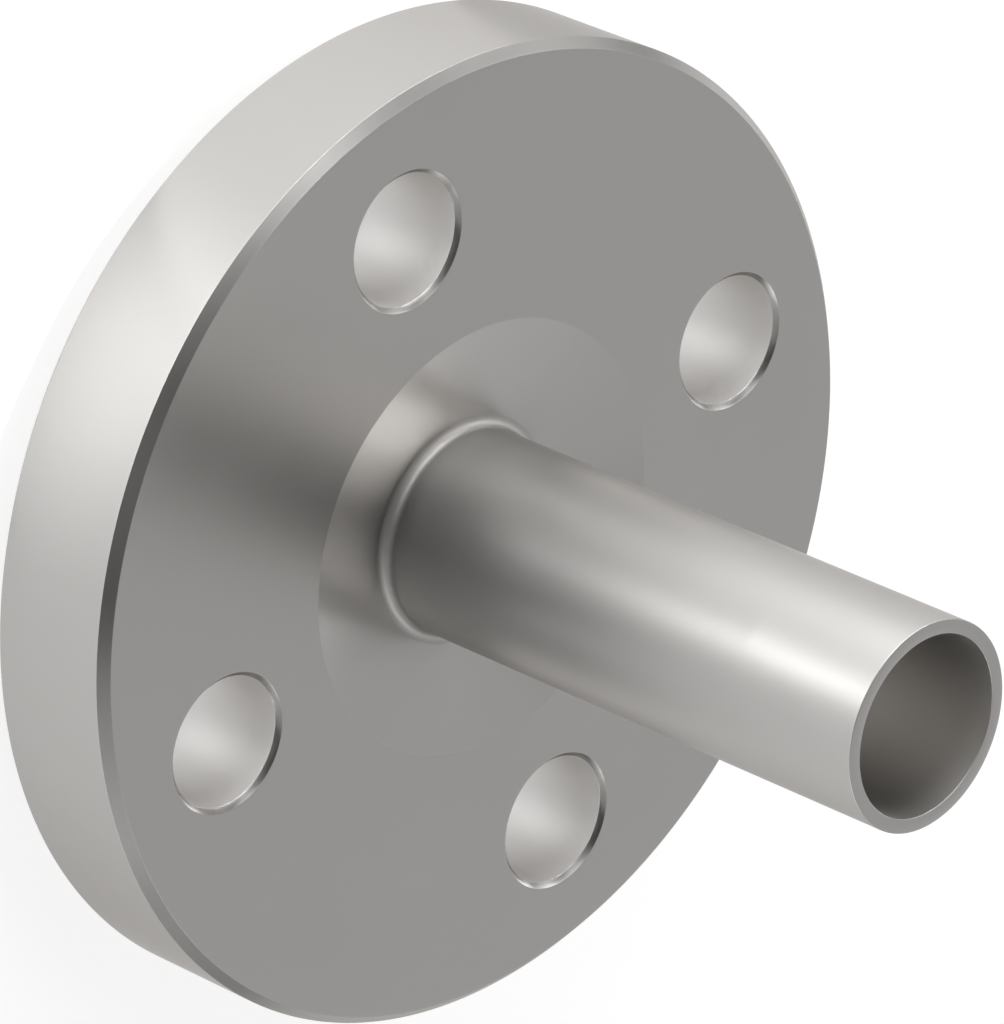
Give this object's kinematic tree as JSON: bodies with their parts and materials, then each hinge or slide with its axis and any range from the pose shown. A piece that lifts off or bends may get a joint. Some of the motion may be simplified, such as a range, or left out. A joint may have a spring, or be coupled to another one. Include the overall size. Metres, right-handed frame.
{
  "type": "pipe flange",
  "caption": "Round steel pipe flange with a bolt circle, a raised sealing face, and a plain tube end rising from a dished recess in its back.",
  "frame": {"origin": "centre of the raised sealing face, on which the flange stands", "axes": "+Z along the tube's axis, from the sealing face to the tube's open end; the bolt holes lie half way between +/-X and +/-Y"},
  "size_m": [0.105, 0.105, 0.0788],
  "materials": {
    "stainless_steel": "satin, fine turned"
  },
  "bodies": {
    "root": {"flange": "stainless_steel"}
  },
  "joints": []
}
